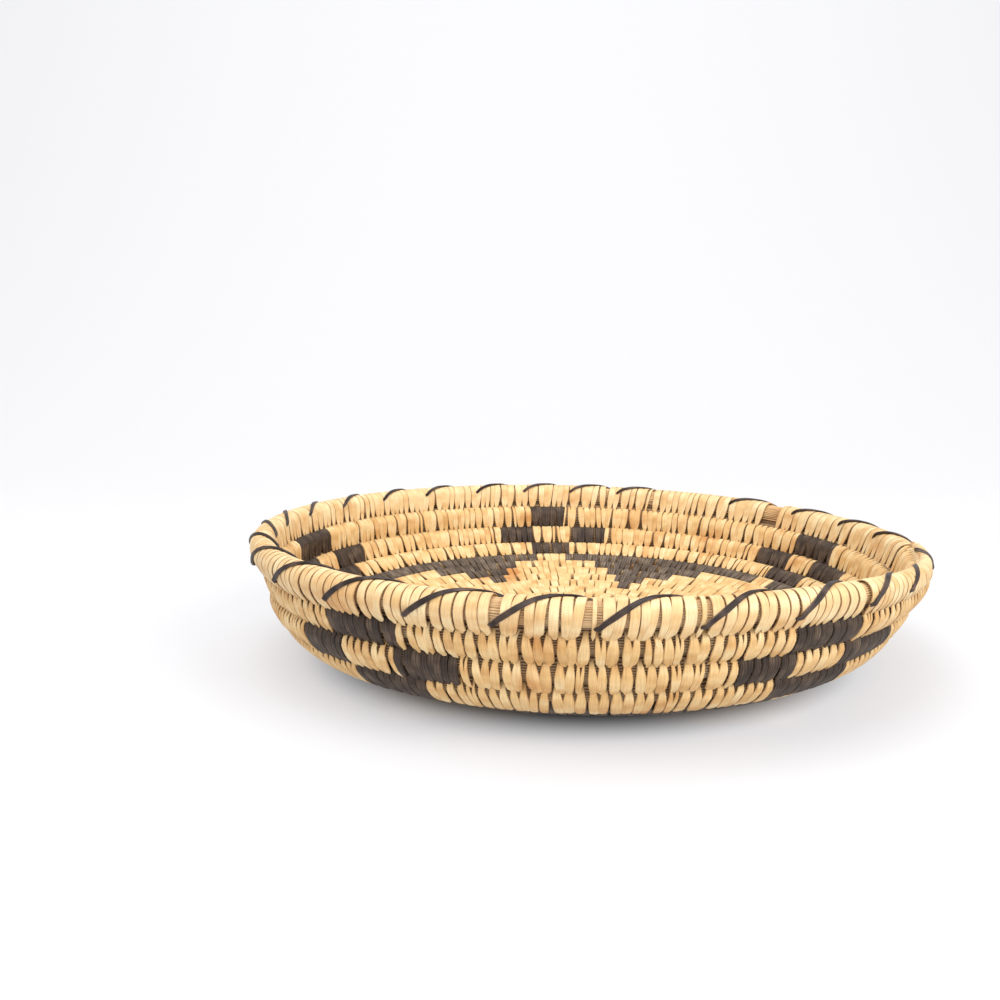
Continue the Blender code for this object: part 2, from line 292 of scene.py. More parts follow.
def coil_frame(turn):
    """Middle of the coil, and the directions along it, up the wall and out of the tray."""
    turn = np.asarray(turn, dtype=float)
    radius, height = coil_section(turn)
    inner = coil_section(np.maximum(turn - 0.5, 0.0))
    outer = coil_section(np.minimum(turn + 0.5, COIL_END + 0.5))
    slope = np.arctan2(outer[1] - inner[1], outer[0] - inner[0])
    angle = coil_angle(turn)
    outward = np.stack([np.cos(angle), np.sin(angle), np.zeros_like(angle)], -1)
    upward = np.array([0.0, 0.0, 1.0])
    along = np.stack([-np.sin(angle), np.cos(angle), np.zeros_like(angle)], -1)
    up_wall = outward * np.cos(slope)[..., None] + upward * np.sin(slope)[..., None]
    out = outward * np.sin(slope)[..., None] - upward * np.cos(slope)[..., None]
    middle = outward * radius[..., None] + upward * height[..., None]
    middle = middle - up_wall * (END_SINK * (1.0 - end_taper(turn)))[..., None]
    middle[..., 0] += RIM_LEAN * soft_step((middle[..., 2] - LEAN_FROM) / LEAN_OVER)
    middle[..., 2] += TILT_HEIGHT * np.cos(angle - TILT_ANGLE) * middle[..., 2] / TILT_MEASURED_AT
    return middle, along, up_wall, out


wall_slopes = np.degrees(np.arcsin(coil_frame(RIM_MIDDLE - np.arange(5.0))[2][:, 2]))
print("slope of the wall in degrees, from the rim down:", wall_slopes.round())

# %% [markdown]
# ## The pattern
#
# The maker draws with splints: at a planned place the light splint is laid aside and a dark one is
# sewn on. Five stepped diamonds stand in the wall, and on the floor dark steps leave a light flower.
# A picture of the pattern could colour the stitches, but it is only a list of stretches: for each row
# below the rim, the degrees round the tray where dark begins and ends. Their ends were read off the
# photograph and worked out in degrees with the fitted camera, and hidden ones are guessed.

# %% Dark stretches, by row
DARK_RUNS = {
    1: ((17.8, 30.7), (90.6, 99.2), (158.0, 172.3), (224.8, 238.8), (294.9, 307.2)),
    2: ((10.7, 21.7), (28.8, 38.9), (80.1, 89.1), (97.7, 106.0), (146.0, 156.4), (163.4, 173.6),
        (216.0, 226.9), (238.1, 248.3), (287.6, 297.6), (308.0, 321.6)),
    3: ((20.3, 32.9), (88.4, 98.3), (151.3, 163.6), (227.7, 241.3), (296.3, 312.4)),
    4: ((33.5, 89.8), (97.6, 158.0), (165.5, 228.3), (236.1, 300.3), (308.2, 388.0)),
    5: ((48.7, 82.2), (105.2, 131.7), (183.0, 216.0), (249.0, 288.0), (323.0, 362.0)),
    6: ((55.7, 76.9), (110.5, 123.7), (189.0, 209.0), (256.0, 281.0), (331.0, 354.0)),
    7: ((62.7, 74.0), (113.4, 119.7), (194.0, 204.0), (263.0, 275.0), (337.0, 348.0)),
    8: ((66.2, 70.7),),
}


def row_of(turn):
    """Rows are counted down from the rim, which is row 0."""
    return int(math.floor(COIL_END - turn))


def is_dark(turn):
    """Whether the pattern has dark splint at this place on the coil."""
    angle = math.degrees(coil_angle(turn))
    runs = DARK_RUNS.get(row_of(turn), ())
    return any((angle - start) % 360.0 < stop - start for start, stop in runs)


print("dark stretches:", sum(len(runs) for runs in DARK_RUNS.values()))

# %% [markdown]
# ## Where the stitches go
#
# Each stitch is sewn between two stitches of the turn below, which is why neighbouring rows step by
# half a stitch. Even spacing in each row would lose that. As the tray widens the gaps grow, and the
# maker slips in an extra stitch, so the same rule places every stitch here: one in each gap, two
# where the gap is too wide, none where it is too narrow. Dark splints are finer and sit closer.

# %% Wanted distance between stitches, in millimetres
LIGHT_SPACING = 3.7
DARK_SPACING = 3.1
RIM_SPACING = 3.75
NEAR_SIDE_EXTRA = 0.3


def wanted_spacing(turn):
    """Millimetres from one stitch to the next at this place on the coil."""
    if is_dark(turn):
        return DARK_SPACING
    light = RIM_SPACING if row_of(turn) == 0 else LIGHT_SPACING
    return light - NEAR_SIDE_EXTRA * math.sin(coil_angle(turn))


print("distance at the middle of the rim:", round(wanted_spacing(RIM_MIDDLE), 2))

# %% Stitch places
START_TURN = 0.45
FIRST_STITCH = START_TURN + 0.05
STITCHES_IN_FIRST_TURN = 5
ONE_STITCH_IN_TURNS = 0.004
OWED_BEFORE_A_CHANGE = 0.6
SMOOTHING_ROUNDS = 3


def place_stitches():
    """Turns at which the coil is stitched, from the middle to its end on the rim."""
    places = [FIRST_STITCH + number / STITCHES_IN_FIRST_TURN for number in range(STITCHES_IN_FIRST_TURN)]
    lower, owed = 0, 0.0
    while True:
        gap = places[lower + 1] - places[lower]
        turn = (places[lower] + places[lower + 1]) / 2 + 1.0
        if turn > COIL_END - ONE_STITCH_IN_TURNS:
            return np.array(places)
        owed += gap * 2 * math.pi * coil_section(turn)[0] / wanted_spacing(turn) - 1.0
        extra = round(owed) if abs(owed) > OWED_BEFORE_A_CHANGE else 0
        extra = max(extra, -1)
        owed -= extra
        first = places[lower] + 1.0
        for number in range(extra + 1):
            places.append(first + gap * (number + 0.5) / (extra + 1))
        lower += 1


stitch_turns = place_stitches()
for smoothing in range(SMOOTHING_ROUNDS):
    between = (stitch_turns[:-2] + stitch_turns[2:]) / 2
    stitch_turns[1:-1] = (stitch_turns[1:-1] + between) / 2
stitch_row = np.array([row_of(turn) for turn in stitch_turns])
stitch_angle = np.degrees(coil_angle(stitch_turns)) % 360.0
spacing = np.gradient(stitch_turns) * 2 * np.pi * coil_section(stitch_turns)[0]
dark = np.array([is_dark(turn) for turn in stitch_turns])
print("stitches:", len(stitch_turns), "in the rim:", int((stitch_row == 0).sum()), "dark:", int(dark.sum()))

# %% [markdown]
# ## The path of a stitch
#
# A splint goes over the coil and down both sides into the turn below. Outside it ends blunt, with a
# corner cut off, and inside it ends in a point between its neighbours. Between turns it is pinched.
# One modelled stitch could be copied along the coil, but the wall bends and flares, and the copies
# would miss the turn below. So each stitch has key points of its own: an angle and a reach from the
# middle of its own turn, or of the lower one.

# %% Angles in degrees and reaches in millimetres
ROW_MIDDLES = [RIM_MIDDLE - row for row in (5, 4, 3, 2, 1, 0)]
OUTSIDE_TIP_ANGLES = [60.0, 70.0, 86.0, 56.0, 34.0, 42.0]
OUTSIDE_TIP_REACH = 5.35
RIM_TIP_EXTRA = 0.2
INSIDE_TIP_ANGLE = -34.0
INSIDE_TIP_REACH = 5.0
OUTSIDE_TUCK_REACH = 4.5
OUTSIDE_TUCK_RADIANS = 0.1
INSIDE_TUCK_REACH = 4.2
INSIDE_TUCK_RADIANS = 0.08
BELLY = 0.55
OWN_ANGLES = (-13.0, 8.0, 32.0, 58.0, 85.0, 110.0, 135.0, 160.0, 186.0)
WALL_REACH = (5.15, 5.05, 4.95, 4.9, 4.85, 4.75, 4.7, 4.65, 4.65)
RIM_REACH = (5.45, 5.4, 5.4, 5.4, 5.4, 5.3, 5.2, 5.05, 4.95)
RIM_BLEND_TURNS = 0.04
THIN_TURNS = (0.4, 1.1, 10.0, 12.6)
THIN_SHARES = (0.7, 0.93, 0.93, 1.0)
print("key points on a stitch's own turn:", len(OWN_ANGLES))

# %% Widths from outside to inside, as shares of the full width
LIGHT_WIDTHS = (0.85, 0.96, 1.06, 1.08, 0.98, 0.78, 0.58, 0.46, 0.58, 1.0, 1.12, 1.14, 1.12, 0.68, 0.25)
FLOOR_WIDTHS = (0.9, 1.05, 1.08, 1.08, 1.08, 1.08, 1.08, 1.1, 1.12, 1.14, 1.14, 1.14, 1.14, 1.04, 0.7)
RIM_WIDTHS = (0.9, 1.0, 1.0, 1.0, 1.0, 1.0, 0.98, 0.98, 1.0, 1.06, 1.1, 1.1, 1.06, 0.6, 0.2)
DARK_WIDTHS = (0.9, 1.06, 1.12, 1.14, 1.12, 1.04, 0.96, 0.9, 0.96, 1.12, 1.14, 1.14, 1.08, 0.6, 0.2)
print("key points in all:", len(LIGHT_WIDTHS))


# %% Key points
def stitch_keys(turn, widths, tip_lift):
    """Key points of each stitch: up the wall, outwards, and half the splint's width."""
    middle, _, up_wall, out = coil_frame(turn)
    lower = coil_frame(np.maximum(turn - 1.0, 0.02))[0] - middle
    down = np.stack([(lower * up_wall).sum(-1), (lower * out).sum(-1)], -1)
    back = -down / np.linalg.norm(down, axis=-1, keepdims=True)
    side = np.stack([-back[:, 1], back[:, 0]], -1)
    thin = end_taper(turn) * np.interp(turn, THIN_TURNS, THIN_SHARES)
    rim = np.clip((turn - COIL_END + 1.0) / RIM_BLEND_TURNS + 0.5, 0.0, 1.0)[:, None]
    reaches = np.array(WALL_REACH) * (1 - rim) + np.array(RIM_REACH) * rim
    outside = np.radians(np.interp(turn, ROW_MIDDLES, OUTSIDE_TIP_ANGLES))
    inside = np.radians(np.full(len(turn), INSIDE_TIP_ANGLE))

    def on_lower(angle, reach):
        return down + (back * np.cos(angle)[:, None] + side * np.sin(angle)[:, None]) * reach

    def on_own(angle, reach):
        up = math.sin(math.radians(angle))
        outwards = math.cos(math.radians(angle))
        length = reach * thin + max(up, 0.0) * hump(turn)
        return np.stack([up * length, outwards * length], -1)

    own = [on_own(angle, reaches[:, number]) for number, angle in enumerate(OWN_ANGLES)]
    outer_tip = on_lower(outside, OUTSIDE_TIP_REACH + RIM_TIP_EXTRA * rim + tip_lift[:, None])
    inner_tip = on_lower(inside, INSIDE_TIP_REACH)
    keys = [
        on_lower(outside + OUTSIDE_TUCK_RADIANS, OUTSIDE_TUCK_REACH),
        outer_tip,
        (outer_tip + own[0]) / 2 + side * BELLY,
        *own,
        (own[-1] + inner_tip) / 2,
        inner_tip,
        on_lower(inside - INSIDE_TUCK_RADIANS, INSIDE_TUCK_REACH),
    ]
    return np.concatenate([np.stack(keys, 1), widths[..., None]], -1)


rim_keys = stitch_keys(np.array([RIM_MIDDLE]), np.array([RIM_WIDTHS]), np.zeros(1))
print("a rim stitch reaches this many mm down:", round(float(rim_keys[0, :, 0].min()), 1))

# %% [markdown]
# ## Smooth paths
#
# A splint is sewn on damp, and dries in one smooth sweep without corners. A curve object would need
# one per stitch. Here a Catmull-Rom curve runs through the key points of all stitches at once, and
# keeps the places that were measured. Even steps along it then give faces of even length, with
# closer steps at both ends, where the splint is cut.

# %% From key points to even steps
NEAR_TIP = np.array([0.0, 0.8, 1.9])
AFTER_FIRST_TIP = 1.0
BEFORE_LAST_TIP = 0.6


def smooth_curve(keys, samples=8):
    """Catmull-Rom through the keys of each stitch, with samples points from key to key."""
    padded = np.concatenate([2 * keys[:, :1] - keys[:, 1:2], keys, 2 * keys[:, -1:] - keys[:, -2:-1]], 1)
    t = np.linspace(0, 1, samples, endpoint=False)[None, None, :, None]
    a, b, c, d = (padded[:, i:padded.shape[1] - 3 + i, None] for i in range(4))
    spans = 0.5 * (
        2 * b + (c - a) * t
        + (2 * a - 5 * b + 4 * c - d) * t ** 2
        + (3 * b - a - 3 * c + d) * t ** 3
    )
    points = spans.reshape(len(keys), -1, keys.shape[-1])
    return np.concatenate([points, keys[:, -1:]], 1)


def even_samples(curve, count):
    """Points at even distances along each curve, with closer ones near each end."""
    steps = np.linalg.norm(np.diff(curve[..., :2], axis=1), axis=-1)
    length = np.concatenate([np.zeros((len(curve), 1)), np.cumsum(steps, 1)], 1)
    result, places = [], []
    for points, reached in zip(curve, length):
        total = reached[-1]
        first = NEAR_TIP[-1] + AFTER_FIRST_TIP
        last = total - NEAR_TIP[-1] - BEFORE_LAST_TIP
        inner = np.linspace(first, last, count - 2 * len(NEAR_TIP))
        at = np.concatenate([NEAR_TIP, inner, total - NEAR_TIP[::-1]])
        result.append(np.stack([np.interp(at, reached, points[:, axis]) for axis in range(3)], -1))
        places.append(at)
    return np.array(result), np.array(places)


rim_places = even_samples(smooth_curve(rim_keys), 20)[1]
print("length of a rim stitch in mm:", round(float(rim_places[0, -1]), 1))

# %% [markdown]
# ## Ribbons
#
# A splint is a flat strip less than a millimetre thick. It could be a plane with a thickness modifier,
# but a closed ribbon lets its face be crowned and its ends be cut. Joining the ribbons of one kind
# into one mesh keeps the scene light. Each point also remembers how far across and along its splint
# it lies, and a number that is the splint's own, so that the finish can follow.

# %% Ribbons to mesh
SHARP_ANGLE = math.radians(42.0)


def ribbons_to_mesh(name, points, across, places, edge, seeds):
    """Joins closed ribbons into a mesh, and keeps for each point where it lies on its splint."""
    count, samples, around, _ = points.shape
    index = np.arange(count * samples * around).reshape(count, samples, around)
    after = np.roll(index, -1, axis=2)
    quads = np.stack([index[:, :-1], after[:, :-1], after[:, 1:], index[:, 1:]], -1).reshape(-1, 4)
    caps = [tuple(row[::-1]) for row in index[:, 0]] + [tuple(row) for row in index[:, -1]]
    mesh = bpy.data.meshes.new(name)
    mesh.from_pydata((points.reshape(-1, 3) * MM + np.array(AXIS)).tolist(), [], quads.tolist() + caps)
    values = np.stack([
        np.broadcast_to(across, points.shape[:3]),
        np.broadcast_to(places[..., None], points.shape[:3]),
        np.broadcast_to(seeds[:, None, None], points.shape[:3]),
    ], -1)
    where = mesh.attributes.new("splint", "FLOAT_VECTOR", "POINT")
    where.data.foreach_set("vector", values.reshape(-1).astype(np.float32))
    # The edge value says how much the finish darkens a point: a splint's brown edges, and painted shade on
    # the grass bundle.
    edge_and_shade_values = mesh.attributes.new("edge", "FLOAT", "POINT")
    edge_and_shade_values.data.foreach_set("value", np.broadcast_to(edge, points.shape[:3]).reshape(-1).astype(np.float32))
    mesh.shade_smooth()
    mesh.set_sharp_from_angle(angle=SHARP_ANGLE)
    return mesh


def add_piece(name, mesh, material, slot, *nodes):
    """Links a mesh as a piece of the tray that stands for nodes of the plain model."""
    mesh.materials.append(material)
    item = bpy.data.objects.new(name, mesh)
    bpy.context.scene.collection.objects.link(item)
    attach(item, "root")
    if nodes:
        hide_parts(*nodes)
    print(name, "faces:", len(mesh.polygons))


print("edges stay crisp above this many degrees:", round(math.degrees(SHARP_ANGLE)))

# %% [markdown]
# ## The shape of a stitch
#
# The end of a splint is trimmed with a knife, so one corner is cut off and the other is left blunt.
# A stitch seldom stands upright: it leans, and where it leans over its neighbour its tip rides a
# little higher. Each could be bent by hand, but there are too many, so one function makes them all
# and only a few small numbers differ. The rim's splints are flatter than the rest.

# %% Sections of a splint, across and out
SPLINT_THICKNESS = 0.4
FLAT_SECTION = (
    (-1.0, -0.2), (-0.95, 0.7), (-0.65, 1.0), (0.65, 1.0), (0.95, 0.7), (1.0, -0.2), (0.0, -0.8),
)
CROWNED_SECTION = ((-1.0, -0.2), (-0.8, 0.85), (0.0, 1.05), (0.8, 0.85), (1.0, -0.2), (0.0, -0.8))
print("points round a splint:", len(FLAT_SECTION), "or", len(CROWNED_SECTION))

# %% Many stitches as one mesh
CUT_START = 0.9
CUT_CORNER_LEFT = 0.25
BLUNT_CORNER_LEFT = 0.45
BLUNT_LENGTH = 0.8
SEED_SHUFFLE = 7.3
LEAN_PER_MM = 0.09
LIFT_PER_LEAN = 0.3
LOWEST_SPLINT = 0.02


def splint_mesh(name, turn, widths, cuts, leans, seeds, samples, section, shape):
    """One mesh of many stitches. Each is a closed ribbon that follows its own path."""
    middle, along, up_wall, out = coil_frame(turn)
    key_widths = np.array(shape)[None] * widths[:, None] / 2
    curve = smooth_curve(stitch_keys(turn, key_widths, LIFT_PER_LEAN * np.abs(leans)))
    path, places = even_samples(curve, samples)
    half, path = path[..., 2], path[..., :2]
    tangent = np.gradient(path, axis=1)
    tangent /= np.linalg.norm(tangent, axis=-1, keepdims=True)
    normal = np.stack([-tangent[..., 1], tangent[..., 0]], -1)
    section = np.array(section)
    from_tip = np.maximum(places - CUT_START, 0.0)
    cut_side = np.clip(from_tip / np.abs(cuts)[:, None], CUT_CORNER_LEFT, 1.0)
    bluntness = seeds[:, None] * SEED_SHUFFLE % 1.0
    blunt_side = np.clip(from_tip / BLUNT_LENGTH + bluntness, BLUNT_CORNER_LEFT, 1.0)
    left = half * np.where(cuts[:, None] < 0, cut_side, blunt_side)
    right = half * np.where(cuts[:, None] < 0, blunt_side, cut_side)
    x = section[:, 0][None, None]
    across = np.where(x < 0, x * left[..., None], x * right[..., None])
    shift = leans[:, None] * LEAN_PER_MM * (places - places[:, -1:] / 2)
    height = section[:, 1][None, None, :, None] * SPLINT_THICKNESS
    in_plane = path[:, :, None] + normal[:, :, None] * height
    points = (
        middle[:, None, None]
        + up_wall[:, None, None] * in_plane[..., :1]
        + out[:, None, None] * in_plane[..., 1:]
        + along[:, None, None] * (across + shift[..., None])[..., None]
    )
    points[..., 2] = np.maximum(points[..., 2], LOWEST_SPLINT)
    edge = np.broadcast_to(np.abs(x), across.shape)
    return ribbons_to_mesh(name, points, across, places, edge, seeds)


print("a full lean moves a tip of the rim by mm:", round(LEAN_PER_MM * float(rim_places[0, -1]) / 2, 1))

# %% [markdown]
# ## Fibres and ribs
#
# Every splint is a strip of one leaf or pod, so it has a tone of its own that drifts along it, and
# fibres that run its whole length. A photograph of fibres would repeat on so many splints. Noise
# stretched along the splint doesn't, and the splint's own number moves it on, so no two look alike.
# Ribs are a wave across the splint that wanders a little, as the ridges of a pod do. Their crests
# are painted lighter, a painted highlight, and their valleys darker, a painted shade.

# %% Tone, fibres and ribs
STREAKS_PER_MM_ALONG = 0.13
SEED_STEP = 61.7
RIB_WANDER = 4.0
RIB_VALLEY_PAINTED_SHADE = 0.62
RIB_CREST_PAINTED_HIGHLIGHT = 1.2


def splint_streaks(material, fibre_mm, fibre_depth, rib_mm):
    """Outputs for the splint's tone, fibres and ribs, and for how the last two colour it: fibres
    darken it, and the ribs get a painted highlight on their crests and painted shade in valleys.
    """
    place = add_node(material, "Attribute", {"attribute_name": "splint"})
    parts = add_node(material, "SeparateXYZ", links={0: place.outputs["Vector"]})
    across = add_node(material, "Math", {"operation": "MULTIPLY", 1: 1 / fibre_mm}, {0: parts.outputs["X"]})
    down = add_node(material, "Math", {"operation": "MULTIPLY", 1: STREAKS_PER_MM_ALONG},
                    {0: parts.outputs["Y"]})
    seed = add_node(material, "Math", {"operation": "MULTIPLY", 1: SEED_STEP}, {0: parts.outputs["Z"]})
    spread = add_node(material, "CombineXYZ", links={
        "X": across.outputs[0], "Y": down.outputs[0], "Z": seed.outputs[0],
    })
    fibres = add_node(material, "TexNoise", {"Scale": 1.0, "Detail": 3.0, "Roughness": 0.65},
                      {"Vector": spread.outputs[0]})
    tone_place = add_node(material, "CombineXYZ", links={"Z": seed.outputs[0], "Y": down.outputs[0]})
    tone = add_node(material, "TexNoise", {"Scale": 1.0, "Detail": 2.0}, {"Vector": tone_place.outputs[0]})
    wander = add_node(material, "Math", {"operation": "MULTIPLY", 1: RIB_WANDER}, {0: tone.outputs["Fac"]})
    radians_per_mm = 2 * math.pi / rib_mm if rib_mm else 0.0
    rib_place = add_node(material, "Math", {"operation": "MULTIPLY_ADD", 1: radians_per_mm},
                         {0: parts.outputs["X"], 2: wander.outputs[0]})
    ribs = add_node(material, "Math", {"operation": "COSINE"}, {0: rib_place.outputs[0]})
    grain = add_node(material, "MapRange", {
        "From Min": 0.35, "From Max": 0.7, "To Min": 1.0, "To Max": 1.0 - fibre_depth,
    }, {"Value": fibres.outputs["Fac"]})
    # The ribs' crests get a painted highlight and their valleys get painted shade.
    rib_painted_light = add_node(material, "MapRange", {
        "From Min": -1.0, "From Max": 1.0, "To Min": RIB_VALLEY_PAINTED_SHADE, "To Max": RIB_CREST_PAINTED_HIGHLIGHT,
    }, {"Value": ribs.outputs[0]})
    # A splint without ribs takes its fibres twice, which makes them plainer to see.
    streaks = add_node(material, "Math", {"operation": "MULTIPLY"},
                       {0: grain.outputs[0], 1: (rib_painted_light if rib_mm else grain).outputs[0]})
    return tone.outputs["Fac"], fibres.outputs["Fac"], ribs.outputs[0], streaks.outputs[0]


print("streaks along a splint are about this many mm long:", round(1 / STREAKS_PER_MM_ALONG, 1))

# %% [markdown]
# ## The finish of a splint
#
# The tone picks a colour between the darkest and the palest splint of its kind. Fibres, brown edges
# and stains could each be a layer of their own, but each only darkens what is under it, except the
# painted highlight on the ribs' crests, so they multiply the colour one after the other. On the grass
# the same edge darkening is painted shade, in its grooves and under the stitches. Stains are larger
# than a splint and cross from one to the next, so they go by place on the tray. Fibres and ribs also
# stand out as a fine relief.

# %% One finish for all plant splints
STAINS_PER_METRE = 30.0
STAIN_STRENGTH = 0.8
RELIEF = 0.25 * MM
RELIEF_STRENGTH = 0.5
RIB_RELIEF = 0.35


def splint_finish(name, tones, roughness, fibre_mm, fibre_depth, stain, edge_and_shade_tone, edge_and_shade_share=0.6,
                  rib_mm=None, specular=FIBRE_SPECULAR):
    """Plant splint: a tone for each splint, fibres and ribs with painted light and shade, dark edges that on
    the grass are painted shade, and stains.
    """
    material, shader = new_material(name, roughness, specular)
    tone, fibres, ribs, streaks = splint_streaks(material, fibre_mm, fibre_depth, rib_mm)
    ramp = add_node(material, "ValToRGB", links={"Fac": tone})
    elements = ramp.color_ramp.elements
    elements[0].position, elements[0].color = 0.3, srgb(tones[0])
    elements[1].position, elements[1].color = 0.7, srgb(tones[2])
    elements.new(0.5).color = srgb(tones[1])
    grey = add_node(material, "CombineXYZ", links={axis: streaks for axis in "XYZ"})
    lined = add_node(material, "Mix", {"data_type": "RGBA", "blend_type": "MULTIPLY", 0: 1.0},
                     {6: ramp.outputs["Color"], 7: grey.outputs[0]})
    edge = add_node(material, "Attribute", {"attribute_name": "edge"})
    # Points are darkened towards the edge tone. On the grass this is painted shade in the grooves and under
    # stitches.
    edge_and_shade_amount = add_node(material, "MapRange", {
        "From Min": 0.8, "From Max": 1.0, "To Min": 0.0, "To Max": edge_and_shade_share,
    }, {"Value": edge.outputs["Fac"]})
    with_edges_and_shade = add_node(material, "Mix", {"data_type": "RGBA", "blend_type": "MULTIPLY", 7: srgb(edge_and_shade_tone)},
                     {0: edge_and_shade_amount.outputs[0], 6: lined.outputs[2]})
    tray_place = add_node(material, "TexCoord")
    patches = add_node(material, "TexNoise", {"Scale": STAINS_PER_METRE, "Detail": 4.0, "Roughness": 0.6},
                       {"Vector": tray_place.outputs["Object"]})
    amount = add_node(material, "MapRange", {
        "From Min": 0.55, "From Max": 0.75, "To Min": 0.0, "To Max": STAIN_STRENGTH,
    }, {"Value": patches.outputs["Fac"]})
    stained = add_node(material, "Mix", {"data_type": "RGBA", "blend_type": "MULTIPLY", 7: srgb(stain)},
                       {0: amount.outputs[0], 6: with_edges_and_shade.outputs[2]})
    material.node_tree.links.new(stained.outputs[2], shader.inputs["Base Color"])
    relief = add_node(material, "Math", {"operation": "MULTIPLY_ADD", 1: RIB_RELIEF if rib_mm else 0.0},
                      {0: ribs, 2: fibres})
    bump = add_node(material, "Bump", {"Strength": RELIEF_STRENGTH, "Distance": RELIEF},
                    {"Height": relief.outputs[0]})
    material.node_tree.links.new(bump.outputs[0], shader.inputs["Normal"])
    return material


print("stains are about this many mm wide:", round(1000 / STAINS_PER_METRE))

# %% [markdown]
# ## Yucca, devil's claw and bear grass
#
# The light splints are yucca leaf, split, scraped and dried in the sun. The dark ones are devil's
# claw, the nearly black skin of a seed pod, which ages to a grey brown. Inside lies bear grass. The
# three could be three recipes, but all are dry plant strips, so one recipe with other numbers does.
# Fibres in yucca are about 0.2 mm apart. That is too fine to show here, so they are drawn twice as
# coarse, and the others' too. A size of 1 / 2.6 says that 2.6 of them lie in a millimetre.

# %% Light splints
# Scraped leaf is satin, so it stays soft in the light, and its faint fibres tell it from wood.
light_splint = splint_finish(
    "split_yucca_cream", ("#cfa064", "#e4bc81", "#f1d4a1"), roughness=0.6,
    fibre_mm=1 / 2.6, fibre_depth=0.14, stain="#d8a86e", edge_and_shade_tone="#8a5a2a", edge_and_shade_share=0.6,
)
# The rim's splints are a little smoother, and painted paler: a painted highlight that makes its top
# the brightest line.
rim_splint = splint_finish(
    "split_yucca_rim_painted_highlight", ("#daaf75", "#ebc893", "#f4dcac"), roughness=0.55,
    fibre_mm=1 / 2.6, fibre_depth=0.14, stain="#deb47c", edge_and_shade_tone="#84532a", edge_and_shade_share=0.65,
)
print("light finishes:", light_splint.name, rim_splint.name)

# %% Dark splints and the grass
# Pod skin is nearly black with brown in it, and ridged, so it reads as bark rather than as paint.
dark_splint = splint_finish(
    "split_devils_claw", ("#33271f", "#4b3b2f", "#6d5a49"), roughness=0.6,
    fibre_mm=1 / 1.6, fibre_depth=0.45, stain="#a08a72", edge_and_shade_tone="#6a5a4a", rib_mm=1 / 0.9,
)
# On the floor the same skin is painted paler and greyer: a painted sheen of the light from above on
# the flat floor. It is duller there, and its ridges are fainter.
floor_dark_splint_painted_sheen = splint_finish(
    "devils_claw_floor_painted_sheen", ("#4a3d33", "#64564a", "#837362"), roughness=0.7,
    fibre_mm=1 / 1.6, fibre_depth=0.3, stain="#a89680", edge_and_shade_tone="#8a7a66", rib_mm=1 / 0.7,
)
# Dry straw is dull and pale. What the eye sees of it is mostly the dark lines between the stems,
# which are painted shade, as is the darkening where stitches cover the stems.
grass = splint_finish(
    "bear_grass_stems", ("#e8bd86", "#f2ce9c", "#fadeb4"), roughness=0.7,
    fibre_mm=1 / 1.2, fibre_depth=0.2, stain="#d0a066", edge_and_shade_tone="#4a260c", edge_and_shade_share=0.95,
)
print("dark finishes and grass:", dark_splint.name, floor_dark_splint_painted_sheen.name, grass.name)

# %% [markdown]
# ## Small differences
#
# The same stitch is laid some 2,400 times, so what keeps the tray from looking like a machine's work
# is small differences: a lean, a corner cut to one side or the other, a wider or a split splint.
# Random draws from one fixed start are the same each time. On the rim a few splints have broken off
# and others have worn narrow, and these are set by place, as they can be counted.

# %% How each stitch differs
RIM_GAPS = (254.0, 306.7, 80.2, 41.2, 39.8, 38.4)
NARROW_ON_RIM = (266.4, 280.7, 70.2)
NARROW_SHARE = 0.4
LIGHT_COVER = 0.94
DARK_COVER = 0.97
WIDTH_SPREAD = 0.09
RIM_LEANS_BACK = 1.1
SHORTEST_CUT = 1.0
LONGEST_CUT = 2.6
CUT_BIAS = 0.3
CUT_LEFT_SIDE_UP_TO = 262.0
SPLIT_SHARE = 0.07
FLOOR_FROM_ROW = 4
rng = np.random.default_rng(7)


def nearest_rim_stitch(angle):
    """Number of the rim stitch nearest to an angle in degrees."""
    away = np.abs((stitch_angle - angle + 180.0) % 360.0 - 180.0)
    return int(np.where(stitch_row == 0, away, 999.0).argmin())


on_floor = stitch_row >= FLOOR_FROM_ROW
on_wall = ~on_floor & (stitch_row > 0)
missing = np.zeros(len(stitch_turns), dtype=bool)
missing[[nearest_rim_stitch(angle) for angle in RIM_GAPS]] = True
widths = spacing * np.where(dark, DARK_COVER, LIGHT_COVER)
widths *= 1.0 + WIDTH_SPREAD * rng.uniform(-1.0, 1.0, len(stitch_turns))
for angle in NARROW_ON_RIM:
    widths[nearest_rim_stitch(angle)] *= NARROW_SHARE
leans = rng.uniform(-1.0, 1.0, len(stitch_turns)) + np.where(stitch_row == 0, RIM_LEANS_BACK, 0.0)
cuts = rng.uniform(SHORTEST_CUT, LONGEST_CUT, len(stitch_turns))
cut_bias = np.where(stitch_angle < CUT_LEFT_SIDE_UP_TO, -CUT_BIAS, CUT_BIAS)
cuts *= np.where(rng.uniform(-1.0, 1.0, len(stitch_turns)) + cut_bias < 0, -1.0, 1.0)
seeds = rng.uniform(0.0, 1.0, len(stitch_turns))
split = (rng.uniform(0.0, 1.0, len(stitch_turns)) < SPLIT_SHARE) & ~dark & on_wall
print("missing on the rim:", int(missing.sum()), "split on the wall:", int(split.sum()))

# %% [markdown]
# ## Sewing
#
# The maker sews row by row, with an awl. Here it goes kind by kind instead, so that each kind can
# have another finish: the light floor and wall, the dark pattern on both, and the longer
# pale stitches of the rim. Threads that came off the edges of splints lie askew
# between two light stitches, and are very narrow stitches themselves.

